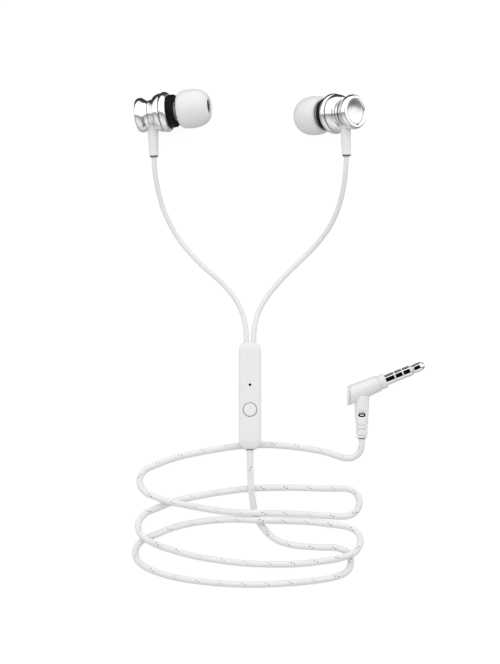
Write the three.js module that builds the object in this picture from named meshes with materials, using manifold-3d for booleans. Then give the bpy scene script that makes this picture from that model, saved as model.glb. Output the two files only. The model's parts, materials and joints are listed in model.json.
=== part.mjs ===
// Wired in-ear earphones: two metal earbuds with soft tips, an inline remote, a braided cord and a
// right-angle plug. Millimetres, +Z up. They lie on a surface at z = 0, with the origin under the middle
// of the two buds.
import * as THREE from 'three';
import Module from 'manifold-3d';
import { mergeVertices } from 'three/addons/utils/BufferGeometryUtils.js';

const wasm = await Module();
wasm.setup();

// ---- Driving dimensions ----

const gap = 0.3; // left between pieces that touch
const roundSides = 20; // sides of a turned piece that shows
const innerSides = 14; // sides of a turned piece inside a casing

const capRadius = 5.8;
const housingRadius = 6.4;
const ringRadius = 6.75;
const baffleRadius = 5.6;
const nozzleRadius = 2.5;
const nozzleBore = 1.9;
const tipRadius = 6.55;
const tipBore = 2.4;
const diaphragmRadius = 4;
const noseFromFace = 24.85; // the whole length of a bud

const stemStation = 5; // distance of the stem's centreline from the rear cap's face
const stemTop = 2.2; // the stem's ends, from the bud's axis
const stemBottom = 13.6;
const stemRadiusTop = 1.8;
const stemRadiusBottom = 1.5;
const stemLean = 2; // degrees

const remoteWidth = 7.4;
const remoteLength = 35.8;
const remoteThickness = 4.6;
const remoteBevel = 0.7;
const remoteWall = 0.8;
const remoteSplit = 2.3; // height of the seam between its shells
const remoteTilt = 4.3; // degrees, because its lower end rests on the cord
const remoteTopY = -73.1;
const buttonY = -22.65; // from the remote's top end
const buttonRadius = 2.15;
const microphoneY = -14.35;
const microphoneHole = 0.35;

const plugAngle = 22; // degrees between the pin and +X
const plugPlace = [32.7, -90.7, 3.2]; // the middle of the barrel's back end
const barrelLength = 11.3;
const barrelRadiusBack = 3.1;
const barrelRadiusFront = 2.6;
const pinRadius = 1.75; // the standard 3.5 mm jack
const pinStart = 11.9;
const pinEnd = 27.6;
const coreRadius = 0.65;
const armX = 4.6; // the arm's centreline, from the barrel's back end
const armLength = 14.2;
const armRadiusTop = 2.5;
const armRadiusBottom = 1.82;
const armGrooves = [9.9, 11.2, 13.3];
const inlayY = -6.5;

const wireDiameter = 1.7;
const cordDiameter = 2.2;

const buds = {
  left: { place: [-37.24, 2.59, 5.325], turn: 7, pitch: 15 },
  right: { place: [35.17, 3.49, 19.82], turn: 184, pitch: -43 },
};

// ---- Materials ----

const finish = (color, roughness, metalness = 0) =>
  new THREE.MeshStandardMaterial({ color, roughness, metalness });
const materials = {
  aluminium: finish(0xd4d4d6, 0.12, 1),
  brushed: finish(0xc8c8ca, 0.35, 1),
  chrome: finish(0xdadadc, 0.06, 1),
  steel: finish(0xa8a8aa, 0.4, 1),
  magnet: finish(0x8c8c90, 0.3, 1),
  brass: finish(0xc8a45a, 0.3, 1),
  copper: finish(0xb87048, 0.35, 1),
  black: finish(0x161617, 0.35),
  grey: finish(0x5a5a5c, 0.5),
  silicone: finish(0xf2f2f2, 0.4),
  soft: finish(0xe6e6e6, 0.55),
  gloss: finish(0xededed, 0.25),
  braid: finish(0xe2e2e2, 0.8),
  film: finish(0xd8d2c0, 0.2),
  board: finish(0x1e6040, 0.5),
};

// ---- Shapes ----

const radians = THREE.MathUtils.degToRad;

/** A turned piece. The profile lists [radius, height along +Y]. A tube's profile closes on itself. */
function turned(profile, sides = roundSides) {
  return new THREE.LatheGeometry(profile.map((point) => new THREE.Vector2(...point)), sides);
}

/** A turned piece with a bore: the profile is closed by going back to its first point. */
function turnedTube(profile, sides = roundSides) {
  return turned([...profile, profile[0]], sides);
}

/** A plain disc from one height to another, or a plain tube where a bore is given. */
function disc(radius, from, to, bore = 0, sides = roundSides) {
  const outside = [[bore, from], [radius, from], [radius, to], [bore, to]];
  return bore ? turnedTube(outside, sides) : turned(outside, sides);
}

/** A box between two corners. */
function block([x0, y0, z0], [x1, y1, z1]) {
  const box = new THREE.BoxGeometry(x1 - x0, y1 - y0, z1 - z0);
  return box.translate((x0 + x1) / 2, (y0 + y1) / 2, (z0 + z1) / 2);
}

/** A rectangle in XY with elliptical corners, drawn between y = top and y = bottom. */
function roundedOutline(halfWidth, top, bottom, cornerX, cornerY) {
  const outline = new THREE.Shape();
  outline.moveTo(halfWidth, bottom + cornerY);
  outline.lineTo(halfWidth, top - cornerY);
  outline.absellipse(halfWidth - cornerX, top - cornerY, cornerX, cornerY, 0, Math.PI / 2);
  outline.absellipse(cornerX - halfWidth, top - cornerY, cornerX, cornerY, Math.PI / 2, Math.PI);
  outline.absellipse(cornerX - halfWidth, bottom + cornerY, cornerX, cornerY, Math.PI, 1.5 * Math.PI);
  outline.absellipse(halfWidth - cornerX, bottom + cornerY, cornerX, cornerY, 1.5 * Math.PI, 2 * Math.PI);
  return outline;
}

/** A round piece standing upright at a place on the Y axis, from one height to another. */
function upright(radius, y, from, to, sides = roundSides) {
  return disc(radius, from, to, 0, sides).rotateX(Math.PI / 2).translate(0, y, 0);
}

/** The manifold solid of a closed geometry. */
function solid(geometry) {
  const bare = new THREE.BufferGeometry().setAttribute('position', geometry.getAttribute('position'));
  bare.setIndex(geometry.index);
  const merged = mergeVertices(bare, 1e-4);
  const corners = [...merged.index.array];
  const triVerts = [];
  for (let i = 0; i < corners.length; i += 3) {
    const [a, b, c] = corners.slice(i, i + 3);
    if (a !== b && b !== c && c !== a) triVerts.push(a, b, c);
  }
  return new wasm.Manifold(new wasm.Mesh({
    numProp: 3,
    vertProperties: merged.getAttribute('position').array,
    triVerts: new Uint32Array(triVerts),
  }));
}

/** The geometry of a manifold solid. */
function geometryOf(made) {
  const mesh = made.getMesh();
  const geometry = new THREE.BufferGeometry();
  geometry.setAttribute('position', new THREE.BufferAttribute(mesh.vertProperties, 3));
  geometry.setIndex(new THREE.BufferAttribute(mesh.triVerts, 1));
  geometry.computeVertexNormals();
  return geometry;
}

/** A closed geometry with others cut out of it. */
function cut(base, ...tools) {
  return geometryOf(tools.reduce((left, tool) => left.subtract(solid(tool)), solid(base)));
}

/** What two closed geometries share. */
function shared(one, other) {
  return geometryOf(solid(one).intersect(solid(other)));
}

/** Adds a named mesh to a group. */
function add(group, name, geometry, material) {
  const mesh = new THREE.Mesh(geometry, materials[material]);
  mesh.name = name;
  group.add(mesh);
  return mesh;
}

// ---- Earbud ----
// Along the bud's axis, +Y here, from the rear cap's face at 0 to the ear tip's nose.

const rearCap = [
  [0, 1.7], [4.05, 1.7], [4.05, 0.9], [4.4, 0], [5.2, 0], [5.5, 0.3], [5.75, 0.9], [capRadius, 1.4],
  [5.65, 2], [5.2, 2.6], [4.7, 3.2], [4.4, 4.2], [3.6, 4.2], [3.6, 2.4], [0, 2.4],
];
const rearHousing = [
  [3.6, 4.5], [4.7, 4.5], [4.7, 5.2], [4.35, 5.3], [4.35, 5.65], [4.95, 5.75], [5.65, 6.25], [6.15, 7.1],
  [housingRadius, 8], [6.25, 8.5], [5.1, 8.5], [5.1, 6.6], [3.6, 6],
];
const frontRing = [
  [5.3, 8.8], [6.35, 8.8], [6.65, 9.15], [ringRadius, 9.7], [6.65, 10.3], [6.35, 10.8], [5.9, 11],
  [5.65, 10.9], [5.3, 10.2],
];
const frontBaffle = [
  [4.6, 10.5], [5, 10.5], [5.2, 11.3], [baffleRadius, 11.35], [baffleRadius, 11.85], [5.4, 12.4],
  [4.9, 12.8], [4.2, 13], [2.6, 13], [2.6, 12.4], [4.6, 12.4],
];
const nozzle = [
  [nozzleBore, 11.9], [2.3, 11.9], [2.3, 13.3], [3.1, 13.3], [3.1, 13.9], [nozzleRadius, 14.1],
  [nozzleRadius, 18.1], [nozzleRadius + 0.25, 18.5], [nozzleRadius + 0.25, 19], [2.4, 19], [2.4, 18.5],
  [nozzleBore, 18.5],
];
const earTip = [
  [4.6, 14.2], [5.3, 14.15], [5.95, 14.85], [6.35, 16.2], [tipRadius, 18.4], [6.4, 20.5], [5.9, 22.3],
  [4.9, 23.8], [3.7, 24.7], [2.9, noseFromFace], [tipBore, 24.4], [tipBore, 19.6], [3.05, 19.3],
  [3.05, 14.9], [3.6, 14.9], [3.6, 21], [4.2, 21.6], [5.1, 20.8], [5.85, 18.4], [5.7, 16.4],
  [5.3, 15.1], [4.6, 14.8],
];
const yoke = [
  [0, 6.3], [3.25, 6.3], [3.25, 8.9], [2.75, 8.9], [2.75, 6.8], [0, 6.8],
];
const driverFrame = [
  [3.55, 8.4], [4.9, 8.4], [4.9, 9.9], [4.3, 9.9], [4.3, 8.9], [3.55, 8.9],
];
const diaphragm = [
  [0, 10.1], [1.6, 9.95], [2.2, 9.75], [3, 9.95], [diaphragmRadius, 10.15], [diaphragmRadius, 10.3],
  [3, 10.15], [2.2, 9.95], [1.6, 10.15], [0, 10.35],
];

/** The body around the stem's root, grown by the gap. */
const stemClearance = [
  [0, -1], [capRadius + gap, -1], [capRadius + gap, 2], [5.6, 2.7], [5.1, 3.3], [4.8, 4.2], [5.05, 4.3],
  [5.05, 5.35], [5.3, 5.45], [6.05, 6.05], [6.55, 7], [7.1, 8], [7.1, 11], [0, 11],
];

/** The stem hangs from the bud's axis along -Y of the whole model. */
function stemGeometry(budFrame) {
  const stem = turned([
    [0, -stemBottom], [stemRadiusBottom, -stemBottom], [stemRadiusBottom + 0.1, -stemBottom + 0.3],
    [stemRadiusBottom + 0.05, -stemBottom + 0.8], [stemRadiusTop, -stemTop - 2],
    [stemRadiusTop, -stemTop], [0, -stemTop],
  ]);
  return cut(stem, turned(stemClearance).applyMatrix4(budFrame));
}

const parts = new THREE.Group();

/** One earbud, with its stem. Returns where its wire starts. */
function addBud(side) {
  const { place, turn, pitch } = buds[side];
  const bud = new THREE.Group();
  // +Y of the bud leans up by pitch and then swings round to its heading.
  bud.rotation.set(radians(pitch), 0, radians(turn - 90), 'ZXY');
  bud.position.set(...place);
  const named = (piece) => `${side}_${piece}`;
  add(bud, named('cap_disc'), disc(3.75, 0.9, 1.4), 'brushed');
  add(bud, named('rear_cap'), turned(rearCap), 'aluminium');
  add(bud, named('rear_housing'), turnedTube(rearHousing), 'aluminium');
  add(bud, named('front_ring'), turnedTube(frontRing), 'aluminium');
  add(bud, named('front_baffle'), turnedTube(frontBaffle), 'black');
  add(bud, named('nozzle'), turnedTube(nozzle), 'chrome');
  add(bud, named('nozzle_screen'), disc(2.1, 18.8, 19, 0, innerSides), 'steel');
  add(bud, named('ear_tip'), turnedTube(earTip), 'silicone');
  add(bud, named('yoke'), turned(yoke, innerSides), 'steel');
  add(bud, named('magnet'), disc(1.6, 7.1, 8.2, 0, innerSides), 'magnet');
  add(bud, named('pole_plate'), disc(1.65, 8.5, 9, 0, innerSides), 'steel');
  add(bud, named('voice_coil'), disc(2.4, 7.7, 9.45, 2, innerSides), 'copper');
  add(bud, named('diaphragm'), turned(diaphragm, innerSides), 'film');
  add(bud, named('driver_frame'), turnedTube(driverFrame, innerSides), 'grey');
  parts.add(bud);

  bud.updateMatrixWorld(true);
  const stem = new THREE.Group();
  stem.position.copy(bud.localToWorld(new THREE.Vector3(0, stemStation, 0)));
  stem.rotation.z = radians(stemLean);
  stem.updateMatrixWorld(true);
  const budInStem = stem.matrixWorld.clone().invert().multiply(bud.matrixWorld);
  add(stem, named('stem'), stemGeometry(budInStem), 'soft');
  const ringEnd = -stemBottom - 0.9;
  add(stem, named('stem_ring'), disc(1.4, ringEnd, -stemBottom - gap, 0, innerSides), 'grey');
  parts.add(stem);
  return stem.localToWorld(new THREE.Vector3(0, ringEnd - gap, 0));
}

// ---- Inline remote ----
// From its top end at y = 0 down to y = -remoteLength, with its back at z = 0.

function addRemote() {
  const remote = new THREE.Group();
  remote.position.set(0, remoteTopY, 0.02);
  remote.rotation.x = -radians(remoteTilt);
  const half = remoteWidth / 2;

  const outside = new THREE.ExtrudeGeometry(
    roundedOutline(half - remoteBevel, -remoteBevel, remoteBevel - remoteLength, 2.3, 1.9),
    {
      depth: remoteThickness - 2 * remoteBevel,
      bevelThickness: remoteBevel,
      bevelSize: remoteBevel,
      bevelSegments: 2,
      curveSegments: 4,
    },
  ).translate(0, 0, remoteBevel);
  const endWall = remoteWall + 0.4;
  const inside = new THREE.ExtrudeGeometry(
    roundedOutline(half - remoteWall, -endWall, endWall - remoteLength, 1.8, 1.6),
    { depth: remoteThickness - 2 * remoteWall, bevelEnabled: false, curveSegments: 3 },
  ).translate(0, 0, remoteWall);

  const bushRadius = 1.35;
  const topNotch = block([-2.7, -3, 1.1], [2.7, 1, 3.5]);
  const bottomNotch = disc(bushRadius + gap, -remoteLength - 3, -remoteLength + 3)
    .translate(0, 0, remoteSplit);
  const openings = [inside, topNotch, bottomNotch];
  const back = block([-half, -remoteLength, -1], [half, 0, remoteSplit - gap / 2]);
  add(remote, 'remote_back_shell', cut(shared(outside, back), ...openings), 'gloss');
  const front = block([-half, -remoteLength, remoteSplit + gap / 2], [half, 0, remoteThickness + 1]);
  const buttonHole = upright(buttonRadius + gap, buttonY, 3, 6);
  const soundHole = upright(microphoneHole, microphoneY, 3, 6, innerSides);
  const frontShell = cut(shared(outside, front), ...openings, buttonHole, soundHole);
  add(remote, 'remote_front_shell', frontShell, 'gloss');

  add(remote, 'remote_circuit_board', block([-2.5, -31, 1.1], [2.5, -5, 1.6]), 'board');
  add(remote, 'remote_microphone', upright(1.5, microphoneY, 1.9, 3.2), 'steel');
  const switchCase = block([-1.7, buttonY - 1.7, 1.9], [1.7, buttonY + 1.7, 2.7]);
  add(remote, 'remote_switch_case', cut(switchCase, upright(1.1, buttonY, 1, 4)), 'black');
  add(remote, 'remote_switch_plunger', upright(0.8, buttonY, 2.25, 2.85), 'grey');
  const button = turned([
    [0, 3.1], [2.6, 3.1], [2.6, 3.45], [buttonRadius, 3.45], [buttonRadius, 4.6],
    [buttonRadius - 0.15, 4.75], [0, 4.75],
  ]);
  add(remote, 'remote_button_cap', button.rotateX(Math.PI / 2).translate(0, buttonY, 0), 'gloss');
  const topBush = cut(
    block([-2.4, -2.6, 1.4], [2.4, -0.1, 3.2]),
    block([-2.1, -2.9, 1.7], [2.1, -0.6, 2.9]),
  );
  add(remote, 'remote_top_bush', topBush, 'soft');
  const bottomBush = disc(bushRadius, -remoteLength - 0.6, -remoteLength + 2.4);
  add(remote, 'remote_bottom_bush', bottomBush.translate(0, 0, remoteSplit), 'grey');
  parts.add(remote);
}

// ---- Plug ----
// The barrel, collar and pin are turned along the pin's line. The arm hangs along -Y.

function addPlug() {
  const plug = new THREE.Group();
  plug.position.set(...plugPlace);
  const along = (geometry) => geometry.rotateZ(radians(plugAngle - 90));

  /** The barrel's outer shape, grown all round, with a root that its end is cut from. */
  const cone = (grow) => along(turned([
    [0, -3], [barrelRadiusBack + grow, -3], [barrelRadiusBack + grow, 0.6],
    [barrelRadiusFront + 0.1 + grow, barrelLength - 0.5],
    [barrelRadiusFront - 0.2 + grow, barrelLength + grow], [0, barrelLength + grow],
  ]));
  const reach = 20; // beyond the whole barrel
  const capFront = 0.6;
  const ahead = block([capFront + gap, -reach, -reach], [reach, reach, reach]);
  const bore = along(disc(1.5, -5, barrelLength + 1));
  add(plug, 'plug_barrel', cut(shared(cone(0), ahead), bore), 'gloss');
  const slice = block([-0.2, -reach, -reach], [capFront, reach, reach]);
  add(plug, 'plug_end_cap', shared(cone(0), slice), 'gloss');

  const armRadius = (down) => armRadiusTop + ((armRadiusBottom - armRadiusTop) * down) / armLength;
  const grooved = armGrooves.flatMap((down) => [
    [armRadius(down), 0.2 - down], [armRadius(down) - 0.25, 0.1 - down],
    [armRadius(down) - 0.25, -0.1 - down], [armRadius(down), -0.2 - down],
  ]);
  const arm = turned([
    [0, -armLength], [armRadiusBottom - 0.2, -armLength], ...grooved.reverse(), [armRadiusTop, 0], [0, 0],
  ], 16).translate(armX, 0, 0);
  /** A flat oval on the arm's face. */
  const oval = (halfWidth, halfHeight, from, depth) => new THREE.ExtrudeGeometry(
    roundedOutline(halfWidth, inlayY + halfHeight, inlayY - halfHeight, halfHeight, halfHeight * 0.95),
    { depth, bevelEnabled: false, curveSegments: 3 },
  ).translate(armX, 0, from);
  add(plug, 'plug_arm', cut(arm, cone(gap), oval(1.2, 0.65, 1.5, 2)), 'soft');
  add(plug, 'plug_arm_inlay', oval(0.85, 0.3, 1.8, 0.3), 'soft');

  const collarStart = barrelLength + gap + 0.1;
  const collar = disc(2.4, collarStart, 13.6, pinRadius + gap, 16);
  add(plug, 'plug_collar', along(collar), 'gloss');
  const insulatorRadius = pinRadius - 0.05;
  const segments = [
    ['plug_sleeve', pinStart, 16.5, pinRadius, 'chrome'],
    ['plug_insulator_3', 16.8, 17.1, insulatorRadius, 'silicone'],
    ['plug_ring_2', 17.4, 19.3, pinRadius, 'chrome'],
    ['plug_insulator_2', 19.6, 19.9, insulatorRadius, 'silicone'],
    ['plug_ring_1', 20.2, 22.1, pinRadius, 'chrome'],
    ['plug_insulator_1', 22.4, 22.7, insulatorRadius, 'silicone'],
  ];
  for (const [name, from, to, radius, material] of segments) {
    add(plug, name, along(disc(radius, from, to, coreRadius + 0.35, 16)), material);
  }
  const tip = turned([
    [0, 23], [1.35, 23], [1.3, 23.4], [1.5, 24.1], [1.5, 25.3], [1.4, 26.4], [0.6, 27.4], [0, pinEnd],
  ], 16);
  add(plug, 'plug_tip', along(tip), 'chrome');
  add(plug, 'plug_core', along(disc(coreRadius, 2.5, 22.7, 0, 8)), 'brass');
  parts.add(plug);
}

// ---- Cords ----

const laid = cordDiameter / 2; // height of the cord's centreline where it lies on the surface
const over = 1.5 * cordDiameter + 0.15; // and where it crosses over itself
const wireLaid = wireDiameter / 2;

/** Points along a round bend, between two directions from its centre in degrees. */
function bend([x, y], radius, from, to, steps) {
  return Array.from({ length: steps + 1 }, (_, i) => {
    const angle = radians(from + ((to - from) * i) / steps);
    return [x + radius * Math.cos(angle), y + radius * Math.sin(angle)];
  });
}

/** A cord's centreline: smooth in plan through its points, which are [x, y] or [x, y, z]. It eases between
 * the heights that they give. */
class CordLine extends THREE.Curve {
  constructor(points) {
    super();
    const flat = points.map(([x, y]) => new THREE.Vector3(x, y, 0));
    this.plan = new THREE.CatmullRomCurve3(flat, false, 'centripetal');
    this.heights = points
      .map(([, , z], i) => ({ t: i / (points.length - 1), z }))
      .filter(({ z }) => z !== undefined);
  }

  getPoint(t, target = new THREE.Vector3()) {
    this.plan.getPoint(t, target);
    const next = Math.max(1, this.heights.findIndex((height) => height.t >= t - 1e-9));
    const [a, b] = this.heights.slice(next - 1, next + 1);
    target.z = a.z + (b.z - a.z) * THREE.MathUtils.smoothstep(t, a.t, b.t);
    return target;
  }

  /** Steps follow the points rather than the length, so that they are closest where the cord bends. */
  getUtoTmapping(u) {
    return u;
  }
}

/** A cord's tube, with one step from each point to the next. */
function cordTube(points, diameter) {
  const section = new THREE.Shape();
  section.absarc(0, 0, diameter / 2, 0, 2 * Math.PI);
  return new THREE.ExtrudeGeometry(section, {
    extrudePath: new CordLine(points), steps: points.length - 1, curveSegments: 4,
  });
}

const leftWire = [
  [-31.8, -14.8], [-31.3, -18.8], [-30.3, -23.8], [-28.7, -29], [-26.3, -34.2], [-23.2, -39.2, wireLaid],
  [-19.3, -43.8], [-15.3, -47.9], [-11, -51.6], [-7.3, -55.3], [-4.3, -59.5, wireLaid], [-2.3, -64],
  [-1.4, -68.5], [-1.15, -72.7, 2.3],
];
const rightWire = [
  [31.8, -14.8], [31.4, -19.2], [30.5, -24.2], [29, -29.2], [26.8, -34], [23.9, -38.2], [20.3, -42.3],
  [16.3, -46.2, wireLaid], [12.3, -50.1], [8.5, -54.2], [5.2, -58.5, wireLaid], [2.7, -63.3], [1.5, -68.2],
  [1.15, -72.7, 2.3],
];

const fromRemote = [
  [0, -109.65, 4.97], [0.1, -115.5], [0.4, -121.7, over], [1.8, -130, laid], [3.3, -133.3], [5.7, -136.4],
  [8.8, -138.8], [12.7, -140.2], [18, -141], [23.3, -141.3],
];
const lowTurn = [
  ...bend([29.2, -146.2], 4.55, 82, -74, 4),
  [23.3, -152.2], [14, -153.2], [4, -153.7], [-5.3, -153.6], [-14.7, -152.9], [-22.7, -151.8],
  [-29.3, -150.2],
  ...bend([-33.6, -143.2], 4.7, 244, 122, 3),
  [-31.3, -137], [-24.7, -134.5], [-15.7, -132.7], [-6, -132, laid], [3, -132.2, over], [12, -132.5, laid],
  [19.3, -132.8], [26.7, -133.6],
];
const middleTurn = [
  ...bend([32.2, -139.2], 4.65, 80, -50, 3),
  [33.1, -143.8, over], [29.7, -145], [25.3, -145.8, laid], [16.7, -146.8], [7.3, -147], [-2, -146.6],
  [-11.3, -145.5], [-20, -143.9], [-28, -141.6, laid], [-31.3, -140.4], [-34.5, -138.6, over],
  ...bend([-32.5, -134.2], 4.8, 208, 122, 2),
  [-31.3, -128.4, laid], [-24.7, -125.8], [-16.7, -124.1], [-8.3, -122.7], [0.4, -121.7], [10, -121.4],
  [19.3, -121.5], [26.7, -121.7],
];
const topTurn = [
  ...bend([32, -126.3], 4.55, 84, -78, 4),
  [26, -130.8], [18, -130.3], [10.7, -130, laid], [1.8, -129.8, over], [-7, -129.5, laid],
  [-16.3, -128.2, laid], [-20.3, -127.4], [-24.2, -126.6, over], [-28.2, -125.7, over], [-31.3, -124.6],
  ...bend([-32.2, -119.2], 4.6, 240, 122, 3),
];
const toPlug = [
  [-31, -113.7, laid], [-24.7, -111.4], [-16.7, -109.6], [-8, -108.1], [0.7, -107.2], [9.3, -107.3],
  [18, -108.2], [25.3, -109.6, laid],
  ...bend([32.7, -107], 4.6, -100, 0, 3),
  [37.3, -105.2, 3.2],
];

// ---- The whole thing ----

for (const [side, wire] of Object.entries({ left: leftWire, right: rightWire })) {
  const start = addBud(side);
  add(parts, `${side}_wire`, cordTube([start.toArray(), ...wire], wireDiameter), 'soft');
}
addRemote();
const mainRoute = [...fromRemote, ...lowTurn, ...middleTurn, ...topTurn, ...toPlug];
add(parts, 'main_cable', cordTube(mainRoute, cordDiameter), 'braid');
addPlug();

export default parts;
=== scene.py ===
import json
import math

import bmesh
import bpy
import numpy as np
from mathutils import Matrix, Vector


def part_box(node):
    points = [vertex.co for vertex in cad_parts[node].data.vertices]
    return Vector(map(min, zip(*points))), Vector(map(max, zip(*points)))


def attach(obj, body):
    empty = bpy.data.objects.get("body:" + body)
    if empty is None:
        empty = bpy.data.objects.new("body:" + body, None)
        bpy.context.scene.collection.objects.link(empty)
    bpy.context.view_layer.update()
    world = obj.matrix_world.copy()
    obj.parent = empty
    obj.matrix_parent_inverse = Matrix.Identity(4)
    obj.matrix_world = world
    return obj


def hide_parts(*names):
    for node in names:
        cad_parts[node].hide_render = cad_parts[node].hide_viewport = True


# Wired in-ear earphones, lying on a pale surface and seen from straight above. Metres, in the CAD model's
# frame. Profiles of turned pieces are in millimetres, as (radius, station along the piece's own +Z).

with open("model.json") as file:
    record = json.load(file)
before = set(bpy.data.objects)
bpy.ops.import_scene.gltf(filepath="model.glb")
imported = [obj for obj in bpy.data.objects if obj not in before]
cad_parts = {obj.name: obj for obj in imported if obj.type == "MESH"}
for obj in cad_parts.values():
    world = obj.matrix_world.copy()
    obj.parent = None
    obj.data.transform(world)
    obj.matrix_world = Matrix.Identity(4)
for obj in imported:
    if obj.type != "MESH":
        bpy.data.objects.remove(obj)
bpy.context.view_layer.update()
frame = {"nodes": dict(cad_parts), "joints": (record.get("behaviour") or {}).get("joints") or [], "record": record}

MM = 0.001
WIRE_DIAMETER = 0.0017
CORD_DIAMETER = 0.0022
STEM_LEAN = math.radians(2)
REMOTE_TILT = math.radians(4.3)
REMOTE_TOP = Vector((0, -0.0731, 0.00002))
PLUG_ANGLE = math.radians(22)
PLUG_PLACE = Vector((0.0327, -0.0907, 0.0032))

# Millimetres: the remote's size in plan, the half sizes of its corners, the height of its cords'
# centrelines, and the places of its button and microphone hole, from its top end.
REMOTE_WIDTH = 7.4
REMOTE_LENGTH = 35.8
REMOTE_CORNER = (3.0, 2.6)
REMOTE_MIDDLE_Z = 2.3
BUTTON_Y = -22.65
MICROPHONE_Y = -14.35

# Millimetres: where the arm's axis crosses the barrel, east of the pin frame's origin, and how far down the
# arm's cable end is from there.
ARM_X = 4.6
ARM_END = 14.2

ROOT = "earphones"
BUTTON = "remote_button"


# ---- Camera ----


def make_camera():
    """A long lens straight above, so that nothing shows in perspective."""
    aim = Vector((0, -0.0695, 0.004))  # the picture's middle, a little above the surface
    height = 2.5  # above that
    seen_length = 0.2213  # at that level, along the picture's long side
    data = bpy.data.cameras.new("camera")
    data.sensor_width = 36
    data.lens = data.sensor_width * height / seen_length
    data.clip_end = 20
    camera = bpy.data.objects.new("camera", data)
    camera.location = aim + Vector((0, 0, height))
    bpy.context.scene.collection.objects.link(camera)
    bpy.context.scene.camera = camera


# ---- Materials ----


class Nodes:
    """A short way to write a material's nodes: each call makes one and joins its inputs."""

    def __init__(self, material):
        material.use_nodes = True
        self.tree = material.node_tree
        self.tree.nodes.clear()

    def __call__(self, kind, inputs=(), **settings):
        node = self.tree.nodes.new("ShaderNode" + kind)
        for name, value in settings.items():
            setattr(node, name, value)
        for name, value in dict(inputs).items():
            if isinstance(value, bpy.types.NodeSocket):
                self.tree.links.new(value, node.inputs[name])
            else:
                node.inputs[name].default_value = value
        return node

    def math(self, operation, *values):
        return self("Math", dict(enumerate(values)), operation=operation).outputs[0]

    def ramp(self, factor, *stops):
        """Greys or colours at places from 0 to 1."""
        node = self("ValToRGB", {"Fac": factor})
        elements = node.color_ramp.elements
        while len(elements) < len(stops):
            elements.new(0.5)
        for element, (place, value) in zip(elements, stops):
            element.position = place
            element.color = (*(value if hasattr(value, "__len__") else (value,) * 3), 1)
        return node.outputs["Color"]

    def noise(self, place, scale, detail=3.0):
        return self("TexNoise", {"Vector": place, "Scale": scale, "Detail": detail}).outputs["Fac"]


def shaded(colour, share):
    """A colour, darkened by a share."""
    return tuple(channel * (1 - share) for channel in colour)


# How many spots a noise has in each metre, roughly.
CLOUD_SCALE = 120.0
WEAR_SCALE = 900.0
TURNED_WEAR_SCALE = 700.0
FIBRE_SCALE = 9000.0
TRACER_SCALE = 45.0


def make_material(name, colour, roughness, mottle=0.03, wear=0.15, grain=0.02, grain_size=0.0003, **sockets):
    """A surface with a faint cloudiness in its colour, wear in its roughness, and a fine grain."""
    material = bpy.data.materials.new(name)
    nodes = Nodes(material)
    place = nodes("TexCoord").outputs["Object"]
    clouds = nodes.noise(place, CLOUD_SCALE)
    colours = nodes.ramp(clouds, (0.3, shaded(colour, mottle)), (0.7, colour))
    worn = nodes.noise(place, WEAR_SCALE, 5.0)
    rough = nodes.ramp(worn, (0.3, roughness * (1 - wear)), (0.7, roughness * (1 + wear)))
    fine = nodes.noise(place, 1 / grain_size, 2.0)
    bump = nodes("Bump", {"Height": fine, "Strength": grain, "Distance": grain_size * 0.5})
    shader = nodes("BsdfPrincipled", {
        "Base Color": colours, "Roughness": rough, "Normal": bump.outputs[0], **sockets,
    })
    nodes("OutputMaterial", {"Surface": shader.outputs[0]})
    return material


def make_turned_metal(name, colour, roughness, half_pitch, depth, anisotropic=0.0):
    """Lathe-turned metal: fine rings of tool marks round the piece's own axis. half_pitch is about half of
    their spacing."""
    material = bpy.data.materials.new(name)
    nodes = Nodes(material)
    place = nodes("TexCoord").outputs["Object"]
    scale = 1 / half_pitch / 6.2832
    wave = {"Vector": place, "Scale": scale, "Distortion": 1.5, "Detail": 2.0, "Detail Scale": 3.0}
    rings = nodes("TexWave", wave, wave_type="RINGS", rings_direction="Z").outputs["Fac"]
    worn = nodes.noise(place, TURNED_WEAR_SCALE, 5.0)
    rough = nodes.ramp(worn, (0.3, roughness * 0.8), (0.7, roughness * 1.25))
    colours = nodes.ramp(rings, (0.0, shaded(colour, 0.05)), (1.0, colour))
    bump = nodes("Bump", {"Height": rings, "Strength": depth, "Distance": half_pitch * 0.1})
    tangent = nodes("Tangent", direction_type="RADIAL", axis="Z")
    shader = nodes("BsdfPrincipled", {
        "Base Color": colours, "Roughness": rough, "Metallic": 1.0, "Normal": bump.outputs[0],
        "Anisotropic": anisotropic, "Tangent": tangent.outputs[0],
    })
    nodes("OutputMaterial", {"Surface": shader.outputs[0]})
    return material


BRAID_STRANDS = 8  # yarns that wind each way round the cord
BRAID_CELL = 0.000975  # length of one crossing along the cord


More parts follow.
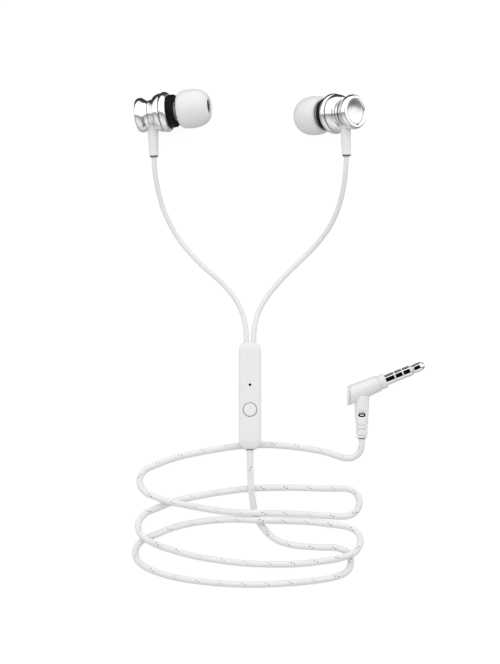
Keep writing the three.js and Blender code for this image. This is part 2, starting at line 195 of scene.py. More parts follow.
def make_braid():
    """White braid. One of its yarns holds a dark tracer thread, which shows as a pair of flecks at each half
    turn."""
    material = bpy.data.materials.new("braid")
    nodes = Nodes(material)
    uv = nodes("SeparateXYZ", {"Vector": nodes("UVMap", uv_map="UVMap").outputs[0]})
    around = nodes.math("MULTIPLY", uv.outputs["X"], float(BRAID_STRANDS))
    one_way = nodes.math("ADD", around, uv.outputs["Y"])
    other_way = nodes.math("SUBTRACT", around, uv.outputs["Y"])
    one, other = nodes.math("FLOOR", one_way), nodes.math("FLOOR", other_way)
    parity = nodes.math("FLOORED_MODULO", nodes.math("ADD", one, other), 2.0)
    on_top = nodes.math("LESS_THAN", parity, 0.5)
    traced_yarn = nodes.math("LESS_THAN", nodes.math("FLOORED_MODULO", one, float(BRAID_STRANDS)), 0.5)
    half_turn = nodes.math("FLOORED_MODULO", around, BRAID_STRANDS / 2)
    raised = nodes.math("COMPARE", half_turn, BRAID_STRANDS / 4, 0.4)
    fleck = nodes.math("MULTIPLY", nodes.math("MULTIPLY", on_top, traced_yarn), raised)
    place = nodes("TexCoord").outputs["Object"]
    fibres = nodes.noise(place, FIBRE_SCALE, 4.0)
    white = nodes.ramp(fibres, (0.25, 0.79), (0.75, 0.9))
    fading = nodes.noise(place, TRACER_SCALE)
    tracer = nodes.ramp(fading, (0.4, (0.05, 0.05, 0.052)), (0.58, (0.5, 0.5, 0.51)))
    colours = nodes("MixRGB", {"Fac": fleck, "Color1": white, "Color2": tracer}).outputs[0]
    bump = nodes("Bump", {"Height": fibres, "Strength": 0.5, "Distance": 0.00004})
    shader = nodes("BsdfPrincipled", {
        "Base Color": colours, "Roughness": 0.75, "Normal": bump.outputs[0], "Sheen Weight": 0.25,
        "Sheen Roughness": 0.5,
    })
    nodes("OutputMaterial", {"Surface": shader.outputs[0]})
    return material


def make_materials():
    """One material for each of the record's slots."""
    scattering = {"Subsurface Weight": 0.2, "Subsurface Scale": 0.0008, "Subsurface Radius": (1, 1, 1)}
    lacquered = {"mottle": 0.012, "wear": 0.05, "grain": 0.006, "Coat Weight": 0.2, "Coat Roughness": 0.2}
    dull = {"mottle": 0.4, "grain": 0.1, "grain_size": 0.0002, "Specular IOR Level": 0.12}
    return {
        "aluminium": make_turned_metal("aluminium", (0.93, 0.93, 0.935), 0.09, 0.00016, 0.05),
        "brushed": make_turned_metal("brushed", (0.86, 0.86, 0.87), 0.24, 0.0002, 0.25, 0.85),
        "chrome": make_turned_metal("chrome", (0.94, 0.94, 0.945), 0.05, 0.0002, 0.02),
        "steel": make_turned_metal("steel", (0.55, 0.55, 0.56), 0.4, 0.0002, 0.3),
        "magnet": make_turned_metal("magnet", (0.5, 0.5, 0.52), 0.3, 0.0003, 0.1),
        "brass": make_turned_metal("brass", (0.8, 0.6, 0.3), 0.3, 0.0002, 0.2),
        "copper": make_turned_metal("copper", (0.75, 0.4, 0.25), 0.35, 0.00012, 0.6),
        "black": make_material("black", (0.004, 0.004, 0.0042), 0.45, **dull),
        "grey": make_material("grey", (0.13, 0.13, 0.133), 0.45, mottle=0.2, grain=0.1),
        "silicone": make_material("silicone", (0.835, 0.835, 0.83), 0.42, grain=0.05, **scattering),
        "soft": make_material("soft", (0.86, 0.86, 0.86), 0.5, mottle=0.015, grain=0.08, grain_size=0.00015),
        "gloss": make_material("gloss", (0.82, 0.82, 0.82), 0.3, **lacquered),
        "insulator": make_material("insulator", (0.8, 0.8, 0.8), 0.35),
        "film": make_material("film", (0.75, 0.7, 0.55), 0.25),
        "board": make_material("board", (0.03, 0.2, 0.08), 0.4, mottle=0.3),
        "braid": make_braid(),
    }


# ---- Shapes ----


def rounded(profile, radius, closed=False, steps=5):
    """A profile with its corners rounded."""
    points = [Vector(point) for point in profile]
    count = len(points)
    out = []
    for i, corner in enumerate(points):
        if not closed and i in (0, count - 1):
            out.append(corner)
            continue
        before, after = points[i - 1] - corner, points[(i + 1) % count] - corner
        start = corner + before.normalized() * min(radius, 0.45 * before.length)
        end = corner + after.normalized() * min(radius, 0.45 * after.length)
        for k in range(steps + 1):
            t = k / steps
            out.append(start.lerp(corner, t).lerp(corner.lerp(end, t), t))
    return out


def catmull(points, steps, closed=False):
    """A centripetal Catmull-Rom curve through points, with so many steps from each to the next."""
    points = [np.array(point, float) for point in points]
    count = len(points)
    out = []
    for i in range(count if closed else count - 1):
        p1, p2 = points[i], points[(i + 1) % count]
        p0 = points[i - 1] if closed or i > 0 else 2 * p1 - p2
        p3 = points[(i + 2) % count] if closed or i + 2 < count else 2 * p2 - p1
        d0, d1, d2 = (max(np.linalg.norm(b - a) ** 0.5, 1e-9) for a, b in ((p0, p1), (p1, p2), (p2, p3)))
        slope1 = ((p1 - p0) / d0 - (p2 - p0) / (d0 + d1) + (p2 - p1) / d1) * d1
        slope2 = ((p2 - p1) / d1 - (p3 - p1) / (d1 + d2) + (p3 - p2) / d2) * d1
        for k in range(steps):
            t = k / steps
            out.append((2 * t**3 - 3 * t**2 + 1) * p1 + (t**3 - 2 * t**2 + t) * slope1
                       + (3 * t**2 - 2 * t**3) * p2 + (t**3 - t**2) * slope2)
    return out if closed else [*out, points[-1]]


def finish_mesh(name, mesh, matrix, material, body, replaces=(), sharp=35):
    """Places a mesh as a piece: smooth but for its sharp edges, with its material, body and CAD node."""
    for polygon in mesh.polygons:
        polygon.use_smooth = True
    mesh.set_sharp_from_angle(angle=math.radians(sharp))
    piece = bpy.data.objects.new(name, mesh)
    piece.matrix_world = matrix
    bpy.context.scene.collection.objects.link(piece)
    piece.data.materials.append(materials[material])
    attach(piece, body)
    if replaces:
        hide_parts(*replaces)
    return piece


def spun(profile, closed, sides):
    """The bmesh of a turned piece round +Z. The profile is in millimetres, going up on its outer side."""
    made = bmesh.new()
    rings = []
    for radius, station in profile:
        if radius < 1e-6:
            rings.append([made.verts.new((0, 0, station * MM))] * sides)
            continue
        turns = [2 * math.pi * k / sides for k in range(sides)]
        places = [(radius * MM * math.cos(a), radius * MM * math.sin(a), station * MM) for a in turns]
        rings.append([made.verts.new(place) for place in places])
    pairs = list(zip(rings, rings[1:] + rings[:1]))
    for low, high in pairs if closed else pairs[:-1]:
        for k in range(sides):
            corners = [low[k], low[(k + 1) % sides], high[(k + 1) % sides], high[k]]
            unique = list(dict.fromkeys(corners))
            if len(unique) > 2:
                made.faces.new(unique)
    bmesh.ops.recalc_face_normals(made, faces=made.faces)
    return made


def mesh_of(made, name):
    mesh = bpy.data.meshes.new(name)
    made.to_mesh(mesh)
    made.free()
    return mesh


def turned(name, profile, matrix, material, body=ROOT, replaces=(), closed=False, sides=96):
    """A turned piece."""
    mesh = mesh_of(spun(profile, closed, sides), name)
    return finish_mesh(name, mesh, matrix, material, body, replaces)


def turned_for(node, profile, matrix, material, **options):
    """A fine turned piece that stands for a CAD node."""
    return turned(f"{node}_fine", profile, matrix, material, replaces=[node], **options)


def carve(piece, *cutters):
    """Cuts other objects out of a piece and removes them."""
    for cutter in cutters:
        modifier = piece.modifiers.new("cut", "BOOLEAN")
        modifier.operation, modifier.solver, modifier.object = "DIFFERENCE", "EXACT", cutter
    bpy.context.view_layer.update()
    cut = bpy.data.meshes.new_from_object(piece.evaluated_get(bpy.context.evaluated_depsgraph_get()))
    piece.modifiers.clear()
    piece.data = cut
    for cutter in cutters:
        bpy.data.objects.remove(cutter)
    return piece


def cutter(made, matrix):
    """A loose object to carve with."""
    loose = bpy.data.objects.new("cutter", mesh_of(made, "cutter"))
    loose.matrix_world = matrix
    bpy.context.scene.collection.objects.link(loose)
    return loose


# ---- Cords ----
# The routes are the CAD model's, in metres: (x, y) in plan, or (x, y, z) where the height is set. Only their
# ends differ: make_cords takes the wires and the main cable about 0.9 mm further, into the remote and the
# plug's arm, and the main cable also starts 1 mm further in, inside the remote's bush.

LAID = CORD_DIAMETER / 2
OVER = 1.5 * CORD_DIAMETER + 0.00015
WIRE_LAID = WIRE_DIAMETER / 2


def bend(centre, radius, start, end, steps):
    """Points along a round bend, between two directions from its centre in degrees."""
    angles = [math.radians(start + (end - start) * k / steps) for k in range(steps + 1)]
    return [(centre[0] + radius * math.cos(a), centre[1] + radius * math.sin(a)) for a in angles]


LEFT_WIRE = [
    (-0.0318, -0.0148), (-0.0313, -0.0188), (-0.0303, -0.0238), (-0.0287, -0.029), (-0.0263, -0.0342),
    (-0.0232, -0.0392, WIRE_LAID), (-0.0193, -0.0438), (-0.0153, -0.0479), (-0.011, -0.0516),
    (-0.0073, -0.0553), (-0.0043, -0.0595, WIRE_LAID), (-0.0023, -0.064), (-0.0014, -0.0685),
    (-0.00115, -0.0727, 0.0023),
]
RIGHT_WIRE = [
    (0.0318, -0.0148), (0.0314, -0.0192), (0.0305, -0.0242), (0.029, -0.0292), (0.0268, -0.034),
    (0.0239, -0.0382), (0.0203, -0.0423), (0.0163, -0.0462, WIRE_LAID), (0.0123, -0.0501), (0.0085, -0.0542),
    (0.0052, -0.0585, WIRE_LAID), (0.0027, -0.0633), (0.0015, -0.0682), (0.00115, -0.0727, 0.0023),
]
FROM_REMOTE = [
    (0, -0.1086, 0.00498), (0.0001, -0.1155), (0.0004, -0.1217, OVER), (0.0018, -0.13, LAID),
    (0.0033, -0.1333), (0.0057, -0.1364), (0.0088, -0.1388), (0.0127, -0.1402), (0.018, -0.141),
    (0.0233, -0.1413),
]
LOW_TURN = [
    *bend((0.0292, -0.1462), 0.00455, 82, -74, 4),
    (0.0233, -0.1522), (0.014, -0.1532), (0.004, -0.1537), (-0.0053, -0.1536), (-0.0147, -0.1529),
    (-0.0227, -0.1518), (-0.0293, -0.1502),
    *bend((-0.0336, -0.1432), 0.0047, 244, 122, 3),
    (-0.0313, -0.137), (-0.0247, -0.1345), (-0.0157, -0.1327), (-0.006, -0.132, LAID), (0.003, -0.1322, OVER),
    (0.012, -0.1325, LAID), (0.0193, -0.1328), (0.0267, -0.1336),
]
MIDDLE_TURN = [
    *bend((0.0322, -0.1392), 0.00465, 80, -50, 3),
    (0.0331, -0.1438, OVER), (0.0297, -0.145), (0.0253, -0.1458, LAID), (0.0167, -0.1468), (0.0073, -0.147),
    (-0.002, -0.1466), (-0.0113, -0.1455), (-0.02, -0.1439), (-0.028, -0.1416, LAID), (-0.0313, -0.1404),
    (-0.0345, -0.1386, OVER),
    *bend((-0.0325, -0.1342), 0.0048, 208, 122, 2),
    (-0.0313, -0.1284, LAID), (-0.0247, -0.1258), (-0.0167, -0.1241), (-0.0083, -0.1227), (0.0004, -0.1217),
    (0.01, -0.1214), (0.0193, -0.1215), (0.0267, -0.1217),
]
TOP_TURN = [
    *bend((0.032, -0.1263), 0.00455, 84, -78, 4),
    (0.026, -0.1308), (0.018, -0.1303), (0.0107, -0.13, LAID), (0.0018, -0.1298, OVER),
    (-0.007, -0.1295, LAID), (-0.0163, -0.1282, LAID), (-0.0203, -0.1274), (-0.0242, -0.1266, OVER),
    (-0.0282, -0.1257, OVER), (-0.0313, -0.1246),
    *bend((-0.0322, -0.1192), 0.0046, 240, 122, 3),
]
TO_PLUG = [
    (-0.031, -0.1137, LAID), (-0.0247, -0.1114), (-0.0167, -0.1096), (-0.008, -0.1081), (0.0007, -0.1072),
    (0.0093, -0.1073), (0.018, -0.1082), (0.0253, -0.1096, LAID),
    *bend((0.0327, -0.107), 0.0046, -100, 0, 3),
    (0.0373, -0.1052, 0.0032),
]


def evenly(line, spacing):
    """A line again, with its points evenly spaced."""
    along = np.concatenate([[0], np.cumsum(np.linalg.norm(np.diff(line, axis=0), axis=1))])
    at = np.linspace(0, along[-1], round(along[-1] / spacing) + 1)
    return np.stack([np.interp(at, along, line[:, k]) for k in range(3)], axis=1), at


def cord_line(points, spacing):
    """A cord's centreline: smooth in plan through its points, easing between the heights that they give."""
    steps = 16
    plan = np.array(catmull([point[:2] for point in points], steps))
    t = np.arange(len(plan)) / steps
    keys = [(i, point[2]) for i, point in enumerate(points) if len(point) > 2]
    height = np.empty(len(plan))
    for (i, low), (j, high) in zip(keys, keys[1:]):
        inside = (t >= i) & (t <= j)
        share = (t[inside] - i) / (j - i)
        height[inside] = low + (high - low) * share**2 * (3 - 2 * share)
    return evenly(np.column_stack([plan, height]), spacing)


def cord_tube(name, line, along, sides, radius_at, cell, material, node):
    """A closed tube along a line. radius_at gives its radius at a share of the turn round it and a length
    along it. Its UV map holds the share of a turn, and the length in cells."""
    tangents = np.gradient(line, axis=0)
    tangents /= np.linalg.norm(tangents, axis=1)[:, None]
    side = np.cross(tangents[0], (0, 0, 1))
    sideways = []
    for tangent in tangents:
        side = side - tangent * (side @ tangent)
        side /= np.linalg.norm(side)
        sideways.append(side)
    sideways = np.array(sideways)
    upward = np.cross(sideways, tangents)
    turn = np.arange(sides) / sides
    radius = radius_at(turn[None, :], along[:, None])
    angle = 2 * np.pi * turn
    outward = (np.cos(angle)[None, :, None] * sideways[:, None]
               + np.sin(angle)[None, :, None] * upward[:, None])
    points = line[:, None] + radius[..., None] * outward
    rings = len(line)
    i, j = (grid.ravel() for grid in np.meshgrid(np.arange(rings - 1), np.arange(sides), indexing="ij"))
    after = (j + 1) % sides
    low, high = i * sides, (i + 1) * sides
    faces = np.column_stack([low + j, low + after, high + after, high + j])
    ends = [list(range(sides))[::-1], list(range((rings - 1) * sides, rings * sides))]
    mesh = bpy.data.meshes.new(name)
    mesh.from_pydata(points.reshape(-1, 3).tolist(), [], faces.tolist() + ends)
    u = np.column_stack([j, j + 1, j + 1, j]) / sides
    v = np.column_stack([along[i], along[i], along[i + 1], along[i + 1]]) / cell
    uv = np.zeros((len(mesh.loops), 2))
    uv[:4 * len(faces)] = np.column_stack([u.ravel(), v.ravel()])
    mesh.uv_layers.new(name="UVMap").data.foreach_set("uv", uv.ravel())
    mesh.update()
    return finish_mesh(name, mesh, Matrix(), material, ROOT, [node], sharp=60)


def smooth_wire(turn, along):
    """The surface of a plain wire."""
    return np.full((turn + along).shape, WIRE_DIAMETER / 2)


def braid_relief(turn, along):
    """The surface of a braid of round yarns: each rises where it passes over, and sinks towards its ends."""
    one_way = BRAID_STRANDS * turn + along / BRAID_CELL
    other_way = BRAID_STRANDS * turn - along / BRAID_CELL
    over = (np.floor(one_way) + np.floor(other_way)) % 2 < 0.5
    across = np.where(over, one_way, other_way) % 1
    ahead = np.where(over, other_way, one_way) % 1
    height = np.sin(np.pi * across) ** 0.7 * (0.45 + 0.55 * np.sin(np.pi * ahead))
    return CORD_DIAMETER / 2 - 0.00008 + 0.0001 * height


def make_cords():
    """The two wires and the braided main cable. Returns each one's tube and centreline, by node name."""
    cords = {}
    for side, points in (("left", LEFT_WIRE), ("right", RIGHT_WIRE)):
        start = sum(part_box(f"{side}_stem_ring"), Vector()) / 2
        end = Vector(points[-1]) + Vector((0, -0.0009, 0))
        line, along = cord_line([tuple(start), *points[:-1], tuple(end)], 0.0004)
        name = f"{side}_wire"
        cords[name] = cord_tube(f"{name}_tube", line, along, 28, smooth_wire, MM, "soft", name), line
    route = [*FROM_REMOTE, *LOW_TURN, *MIDDLE_TURN, *TOP_TURN, *TO_PLUG, (0.0373, -0.1044, 0.0032)]
    line, along = cord_line(route, 0.00014)
    tube = cord_tube("main_cable_braid", line, along, 40, braid_relief, BRAID_CELL, "braid", "main_cable")
    cords["main_cable"] = tube, line
    return cords


# ---- Earbuds ----

CAP_OUTSIDE = [
    (4.42, 0.12), (4.58, 0.01), (4.85, 0), (5.15, 0.02), (5.42, 0.14), (5.64, 0.45), (5.78, 0.9), (5.82, 1.4),
    (5.68, 1.95), (5.25, 2.55), (4.75, 3.15), (4.48, 3.7), (4.42, 4.22),
]
CAP_DISC = [(0, 1.4), (1.2, 1.36), (2.4, 1.19), (3.3, 0.92), (3.85, 0.66), (4.0, 0.6)]
BELL = [
    (4.35, 5.62), (4.75, 5.68), (5.35, 5.95), (5.8, 6.4), (6.15, 7.05), (6.36, 7.8), (6.4, 8.2), (6.28, 8.5),
]
RING_FRONT = [
    (6.2, 8.72), (6.42, 8.78), (6.62, 9.05), (6.74, 9.45), (6.76, 9.8), (6.65, 10.3), (6.38, 10.75),
    (6.05, 10.98), (5.8, 11.0), (5.68, 10.9),
]
BAFFLE = [
    (4.6, 10.5), (5, 10.5), (5.2, 11.0), (5.52, 11.05), (5.52, 12.7), (5.44, 13.1), (5.2, 13.32),
    (4.7, 13.32), (4.4, 13), (2.4, 13), (2.4, 12.5), (4.6, 12.5),
]
NOZZLE = [
    (1.9, 11.9), (2.3, 11.9), (2.3, 13.03), (3.3, 13.04), (3.32, 13.2), (3.05, 13.45), (2.75, 13.75),
    (2.55, 14.0), (2.5, 14.3), (2.5, 18.1), (2.75, 18.5), (2.75, 19), (2.4, 19), (2.4, 18.5), (1.9, 18.5),
]
TIP_OUTSIDE = [
    (4.55, 14.7), (4.8, 14.45), (5.25, 14.42), (5.76, 14.85), (6.2, 15.75), (6.45, 17.1), (6.52, 18.6),
    (6.42, 20.2), (6.15, 21.6), (5.65, 22.8), (4.95, 23.75), (4.1, 24.45), (3.3, 24.82), (2.75, 24.78),
    (2.45, 24.4),
]
TIP_INSIDE = [
    (2.4, 23.8), (2.4, 19.7), (2.7, 19.45), (3.05, 19.2), (3.05, 15.0), (3.3, 14.85), (3.6, 15.1),
    (3.6, 20.9), (4.2, 21.5), (5.1, 20.7), (5.75, 18.6), (5.7, 16.6), (5.3, 15.45), (4.75, 15.0),
]
EAR_TIP_CORE = [(2.1, 19.75), (2.38, 19.75), (2.38, 24.1), (2.25, 24.3), (2.1, 24.1)]
STEM = [
    (0, -13.96), (1.5, -13.96), (1.6, -13.7), (1.58, -13.3), (1.52, -13.0), (1.56, -12.4), (1.68, -8),
    (1.8, -4.4), (1.8, -2.4), (0, -2.4),
]
STEM_RING = [(0.7, -14.5), (1.3, -14.5), (1.42, -14.35), (1.42, -14.05), (1.3, -13.94), (0.7, -13.94)]


def bud_matrix(side):
    """The bud's own frame: +Z along its axis from the middle of the rear cap's face, and +Y level, away from
    the cord."""
    pull = next(joint for joint in frame["joints"] if joint["name"] == f"{side}_tip_pull")
    axis = Vector(pull["axis"]).normalized()
    disc_station = 0.00115  # the middle of the cap disc's thickness
    origin = sum(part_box(f"{side}_cap_disc"), Vector()) / 2 - axis * disc_station
    level = Vector((-axis.y, axis.x, 0)).normalized()
    if level.y < 0:
        level.negate()
    across = level.cross(axis)
    return Matrix.Translation(origin) @ Matrix((across, level, axis)).transposed().to_4x4()


def make_vent(matrix):
    """A cutter for the small vent hole in the baffle's side."""
    radius, depth = 0.28 * MM, 1.4 * MM
    from_axis, station = 5.4 * MM, 12.2 * MM
    turn = Matrix.Rotation(math.radians(-166), 4, "Z")
    place = Matrix.Translation((from_axis, 0, station))
    hole = bmesh.new()
    bmesh.ops.create_cone(hole, cap_ends=True, segments=24, radius1=radius, radius2=radius, depth=depth)
    return cutter(hole, matrix @ (turn @ place @ Matrix.Rotation(math.pi / 2, 4, "Y")))


def make_bud(side):
    """One earbud: turned housing, baffle, nozzle and silicone tip, with its stem."""
    matrix = bud_matrix(side)

    def shaped(piece, profile, material, **options):
        return turned_for(f"{side}_{piece}", profile, matrix, material, **options)

    recess = rounded([(0, 1.7), (4.05, 1.7), (4.1, 0.4), (4.3, 0.2)], 0.06)
    cup = rounded([(4.3, 4.22), (3.6, 4.22), (3.6, 2.4), (0, 2.4)], 0.15)
    shaped("rear_cap", [*recess, *catmull(CAP_OUTSIDE, 5), *cup], "aluminium")
    shaped("cap_disc", [*catmull(CAP_DISC, 4), (4.0, 1.5), (0, 1.5)], "brushed")
    collar = rounded([(3.6, 4.5), (4.7, 4.5), (4.7, 5.2), (3.95, 5.25), (3.95, 5.6)], 0.12)
    bell = [*collar, *catmull(BELL, 5), (5.1, 8.5), (5.1, 6.6), (3.6, 6)]
    shaped("rear_housing", bell, "aluminium", closed=True)
    shaped("front_ring", [(5.3, 8.72), *catmull(RING_FRONT, 5), (5.3, 10.5)], "aluminium", closed=True)
    baffle = shaped("front_baffle", rounded(BAFFLE, 0.2, closed=True), "black", closed=True)
    carve(baffle, make_vent(matrix))
    shaped("nozzle", rounded(NOZZLE, 0.12, closed=True), "chrome", closed=True)
    shaped("nozzle_screen", rounded([(0, 18.7), (2.38, 18.7), (2.38, 18.9), (0, 18.95)], 0.05), "steel")
    tip = [*catmull(TIP_OUTSIDE, 4), *catmull(TIP_INSIDE, 3)]
    shaped("ear_tip", tip, "silicone", closed=True, body=f"{side}_tip", sides=128)
    core = rounded(EAR_TIP_CORE, 0.06, closed=True)
    turned(f"{side}_ear_tip_core", core, matrix, "grey", body=f"{side}_tip", closed=True)
    make_stem(side)


def make_stem(side):
    """The stem under the housing's waist, with the ring that its wire leaves through. The ring's dark grey is
    painted shade for the stem's end face in shade.
    """
    ring_middle = sum(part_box(f"{side}_stem_ring"), Vector()) / 2
    ring_station = 0.0142  # from the bud's axis down to the middle of the ring
    up = Vector((0, 0, 1))
    down = Vector((math.sin(STEM_LEAN), -math.cos(STEM_LEAN), 0))
    top = ring_middle - down * ring_station
    matrix = Matrix.Translation(top) @ Matrix((up.cross(down), up, -down)).transposed().to_4x4()
    turned_for(f"{side}_stem", rounded(STEM, 0.12), matrix, "soft", sides=64)
    # The ring is dark grey as painted shade: it stands in for the shade on the stem's end face around the wire.
    ring = rounded(STEM_RING, 0.08, closed=True)
    turned_for(f"{side}_stem_ring", ring, matrix, "grey", closed=True, sides=64)


# ---- Remote ----

END_SLOPE = 2.2  # how much longer the remote's rounded edges are at its ends than at its sides

# The shells' layers, in millimetres: how far the outline is pulled in, and the height.
FRONT_LAYERS = [
    (1.0, 2.32), (0.05, 2.32), (0, 2.38), (0, 3.5), (0.05, 3.8), (0.18, 4.03), (0.4, 4.22), (0.78, 4.44),
    (0.92, 4.52), (1.06, 4.57), (1.25, 4.6),
]
BACK_LAYERS = [
    (1.25, 0), (1.0, 0.03), (0.6, 0.16), (0.28, 0.4), (0.08, 0.75), (0, 1.2), (0, 2.22), (0.05, 2.28),
    (1.0, 2.28),
]
POCKET_LAYERS = [(0.8, 0.8), (0.8, 3.8)]
BUTTON_CAP = [
    (0, 3.1), (2.6, 3.1), (2.6, 3.45), (2.2, 3.45), (2.2, 4.5), (2.1, 4.66), (1.9, 4.73), (1.0, 4.71),
    (0, 4.7),
]
BOTTOM_BUSH = [(1.13, 33.4), (1.35, 33.4), (1.35, 35.9), (1.3, 36.02), (1.18, 36.06), (1.13, 36.0)]


def bar_outline(inset, per_corner=14):
    """The remote's outline in plan, pulled in by so many millimetres: straight sides, elliptical corners."""
    half, length = REMOTE_WIDTH / 2 - inset, REMOTE_LENGTH - 2 * END_SLOPE * inset
    corner_x, corner_y = (max(size - inset, 0.3) for size in REMOTE_CORNER)
    points = []
    for quarter in range(4):
        sign_x = (1, -1, -1, 1)[quarter]
        sign_y = (1, 1, -1, -1)[quarter]
        for k in range(per_corner + 1):
            angle = math.pi / 2 * (quarter + k / per_corner)
            x = sign_x * (half - corner_x) + corner_x * math.cos(angle)
            y = sign_y * (length / 2 - corner_y) + corner_y * math.sin(angle)
            points.append((x, y - REMOTE_LENGTH / 2))
    return points


def bar(layers):
    """The bmesh of a closed bar through layers."""
    made = bmesh.new()
    rings = []
    for inset, z in layers:
        rings.append([made.verts.new((x * MM, y * MM, z * MM)) for x, y in bar_outline(inset)])
    count = len(rings[0])
    for low, high in zip(rings, rings[1:]):
        for k in range(count):
            made.faces.new((low[k], low[(k + 1) % count], high[(k + 1) % count], high[k]))
    made.faces.new(rings[0][::-1])
    made.faces.new(rings[-1])
    bmesh.ops.recalc_face_normals(made, faces=made.faces)
    return made


def upright_cutter(matrix, radius, y, low, high, sides=64):
    """A cutter for a round hole through the remote's face."""
    hole = spun([(0, low), (radius, low), (radius, high), (0, high)], False, sides)
    return cutter(hole, matrix @ Matrix.Translation((0, y * MM, 0)))


def make_remote():
    """The inline remote: two shells, a round button, a microphone hole and the cords' bushes."""
    matrix = Matrix.Translation(REMOTE_TOP) @ Matrix.Rotation(-REMOTE_TILT, 4, "X")
    front_mesh = mesh_of(bar(FRONT_LAYERS), "remote_front")
    front = finish_mesh("remote_front_shell_fine", front_mesh, matrix, "gloss", ROOT, ["remote_front_shell"])
    carve(front, cutter(bar(POCKET_LAYERS), matrix), upright_cutter(matrix, 2.4, BUTTON_Y, 3, 6),
          upright_cutter(matrix, 0.47, MICROPHONE_Y, 3, 6, 24), cutter(slot_block(), matrix))
    back_mesh = mesh_of(bar(BACK_LAYERS), "remote_back")
    back = finish_mesh("remote_back_shell_fine", back_mesh, matrix, "gloss", ROOT, ["remote_back_shell"])
    carve(back, cutter(bar(POCKET_LAYERS), matrix), cutter(slot_block(), matrix))
    at_button = matrix @ Matrix.Translation((0, BUTTON_Y * MM, 0))
    turned_for("remote_button_cap", rounded(BUTTON_CAP, 0.1), at_button, "gloss", body=BUTTON)
    cloth = [(0, 3.3), (0.75, 3.3), (0.75, 3.7), (0, 3.7)]
    at_microphone = matrix @ Matrix.Translation((0, MICROPHONE_Y * MM, 0))
    turned("remote_microphone_cloth", rounded(cloth, 0.05), at_microphone, "black")
    middle = Matrix.Translation((0, 0, REMOTE_MIDDLE_Z * MM))
    exit_matrix = matrix @ middle @ Matrix.Rotation(math.pi / 2, 4, "X")
    bush = rounded(BOTTOM_BUSH, 0.03, closed=True)
    turned_for("remote_bottom_bush", bush, exit_matrix, "grey", closed=True, sides=64)
    make_top_bush(matrix)


def slot_block():
    """The notch at the remote's top end for the bush of the two wires."""
    made = bmesh.new()
    bmesh.ops.create_cube(made, size=1)
    bmesh.ops.scale(made, vec=(5.0 * MM, 3.0 * MM, 1.9 * MM), verts=made.verts)
    bmesh.ops.translate(made, vec=(0, -0.9 * MM, REMOTE_MIDDLE_Z * MM), verts=made.verts)
    return made


def make_top_bush(matrix):
    """A soft block that holds the two wires where they enter."""
    made = bmesh.new()
    bmesh.ops.create_cube(made, size=1)
    bmesh.ops.scale(made, vec=(4.9 * MM, 2.3 * MM, 1.8 * MM), verts=made.verts)
    bmesh.ops.translate(made, vec=(0, -1.25 * MM, REMOTE_MIDDLE_Z * MM), verts=made.verts)
    bmesh.ops.bevel(made, geom=made.edges, offset=0.35 * MM, segments=4, profile=0.5, affect="EDGES")
    finish_mesh("remote_top_bush_fine", mesh_of(made, "top_bush"), matrix, "soft", ROOT, ["remote_top_bush"])


# ---- Plug ----


def sliced(made, matrix, place, normal):
    """Keeps what is behind a plane, which is in the frame that matrix leads to, and closes the cut."""
    inverse = matrix.inverted()
    bmesh.ops.bisect_plane(
        made, geom=[*made.verts, *made.edges, *made.faces], plane_co=inverse @ place,
        plane_no=inverse.to_3x3() @ normal, clear_outer=True)
    open_edges = [edge for edge in made.edges if edge.is_boundary]
    bmesh.ops.edgeloop_fill(made, edges=open_edges)
    bmesh.ops.recalc_face_normals(made, faces=made.faces)
    return made


def soften(made, width=0.12 * MM):
    """Rounds the sharp edges that a cut leaves."""
    sharp = [edge for edge in made.edges if edge.is_manifold and edge.calc_face_angle() > math.radians(50)]
    bmesh.ops.bevel(made, geom=sharp, offset=width, segments=3, profile=0.5, affect="EDGES")
    return made


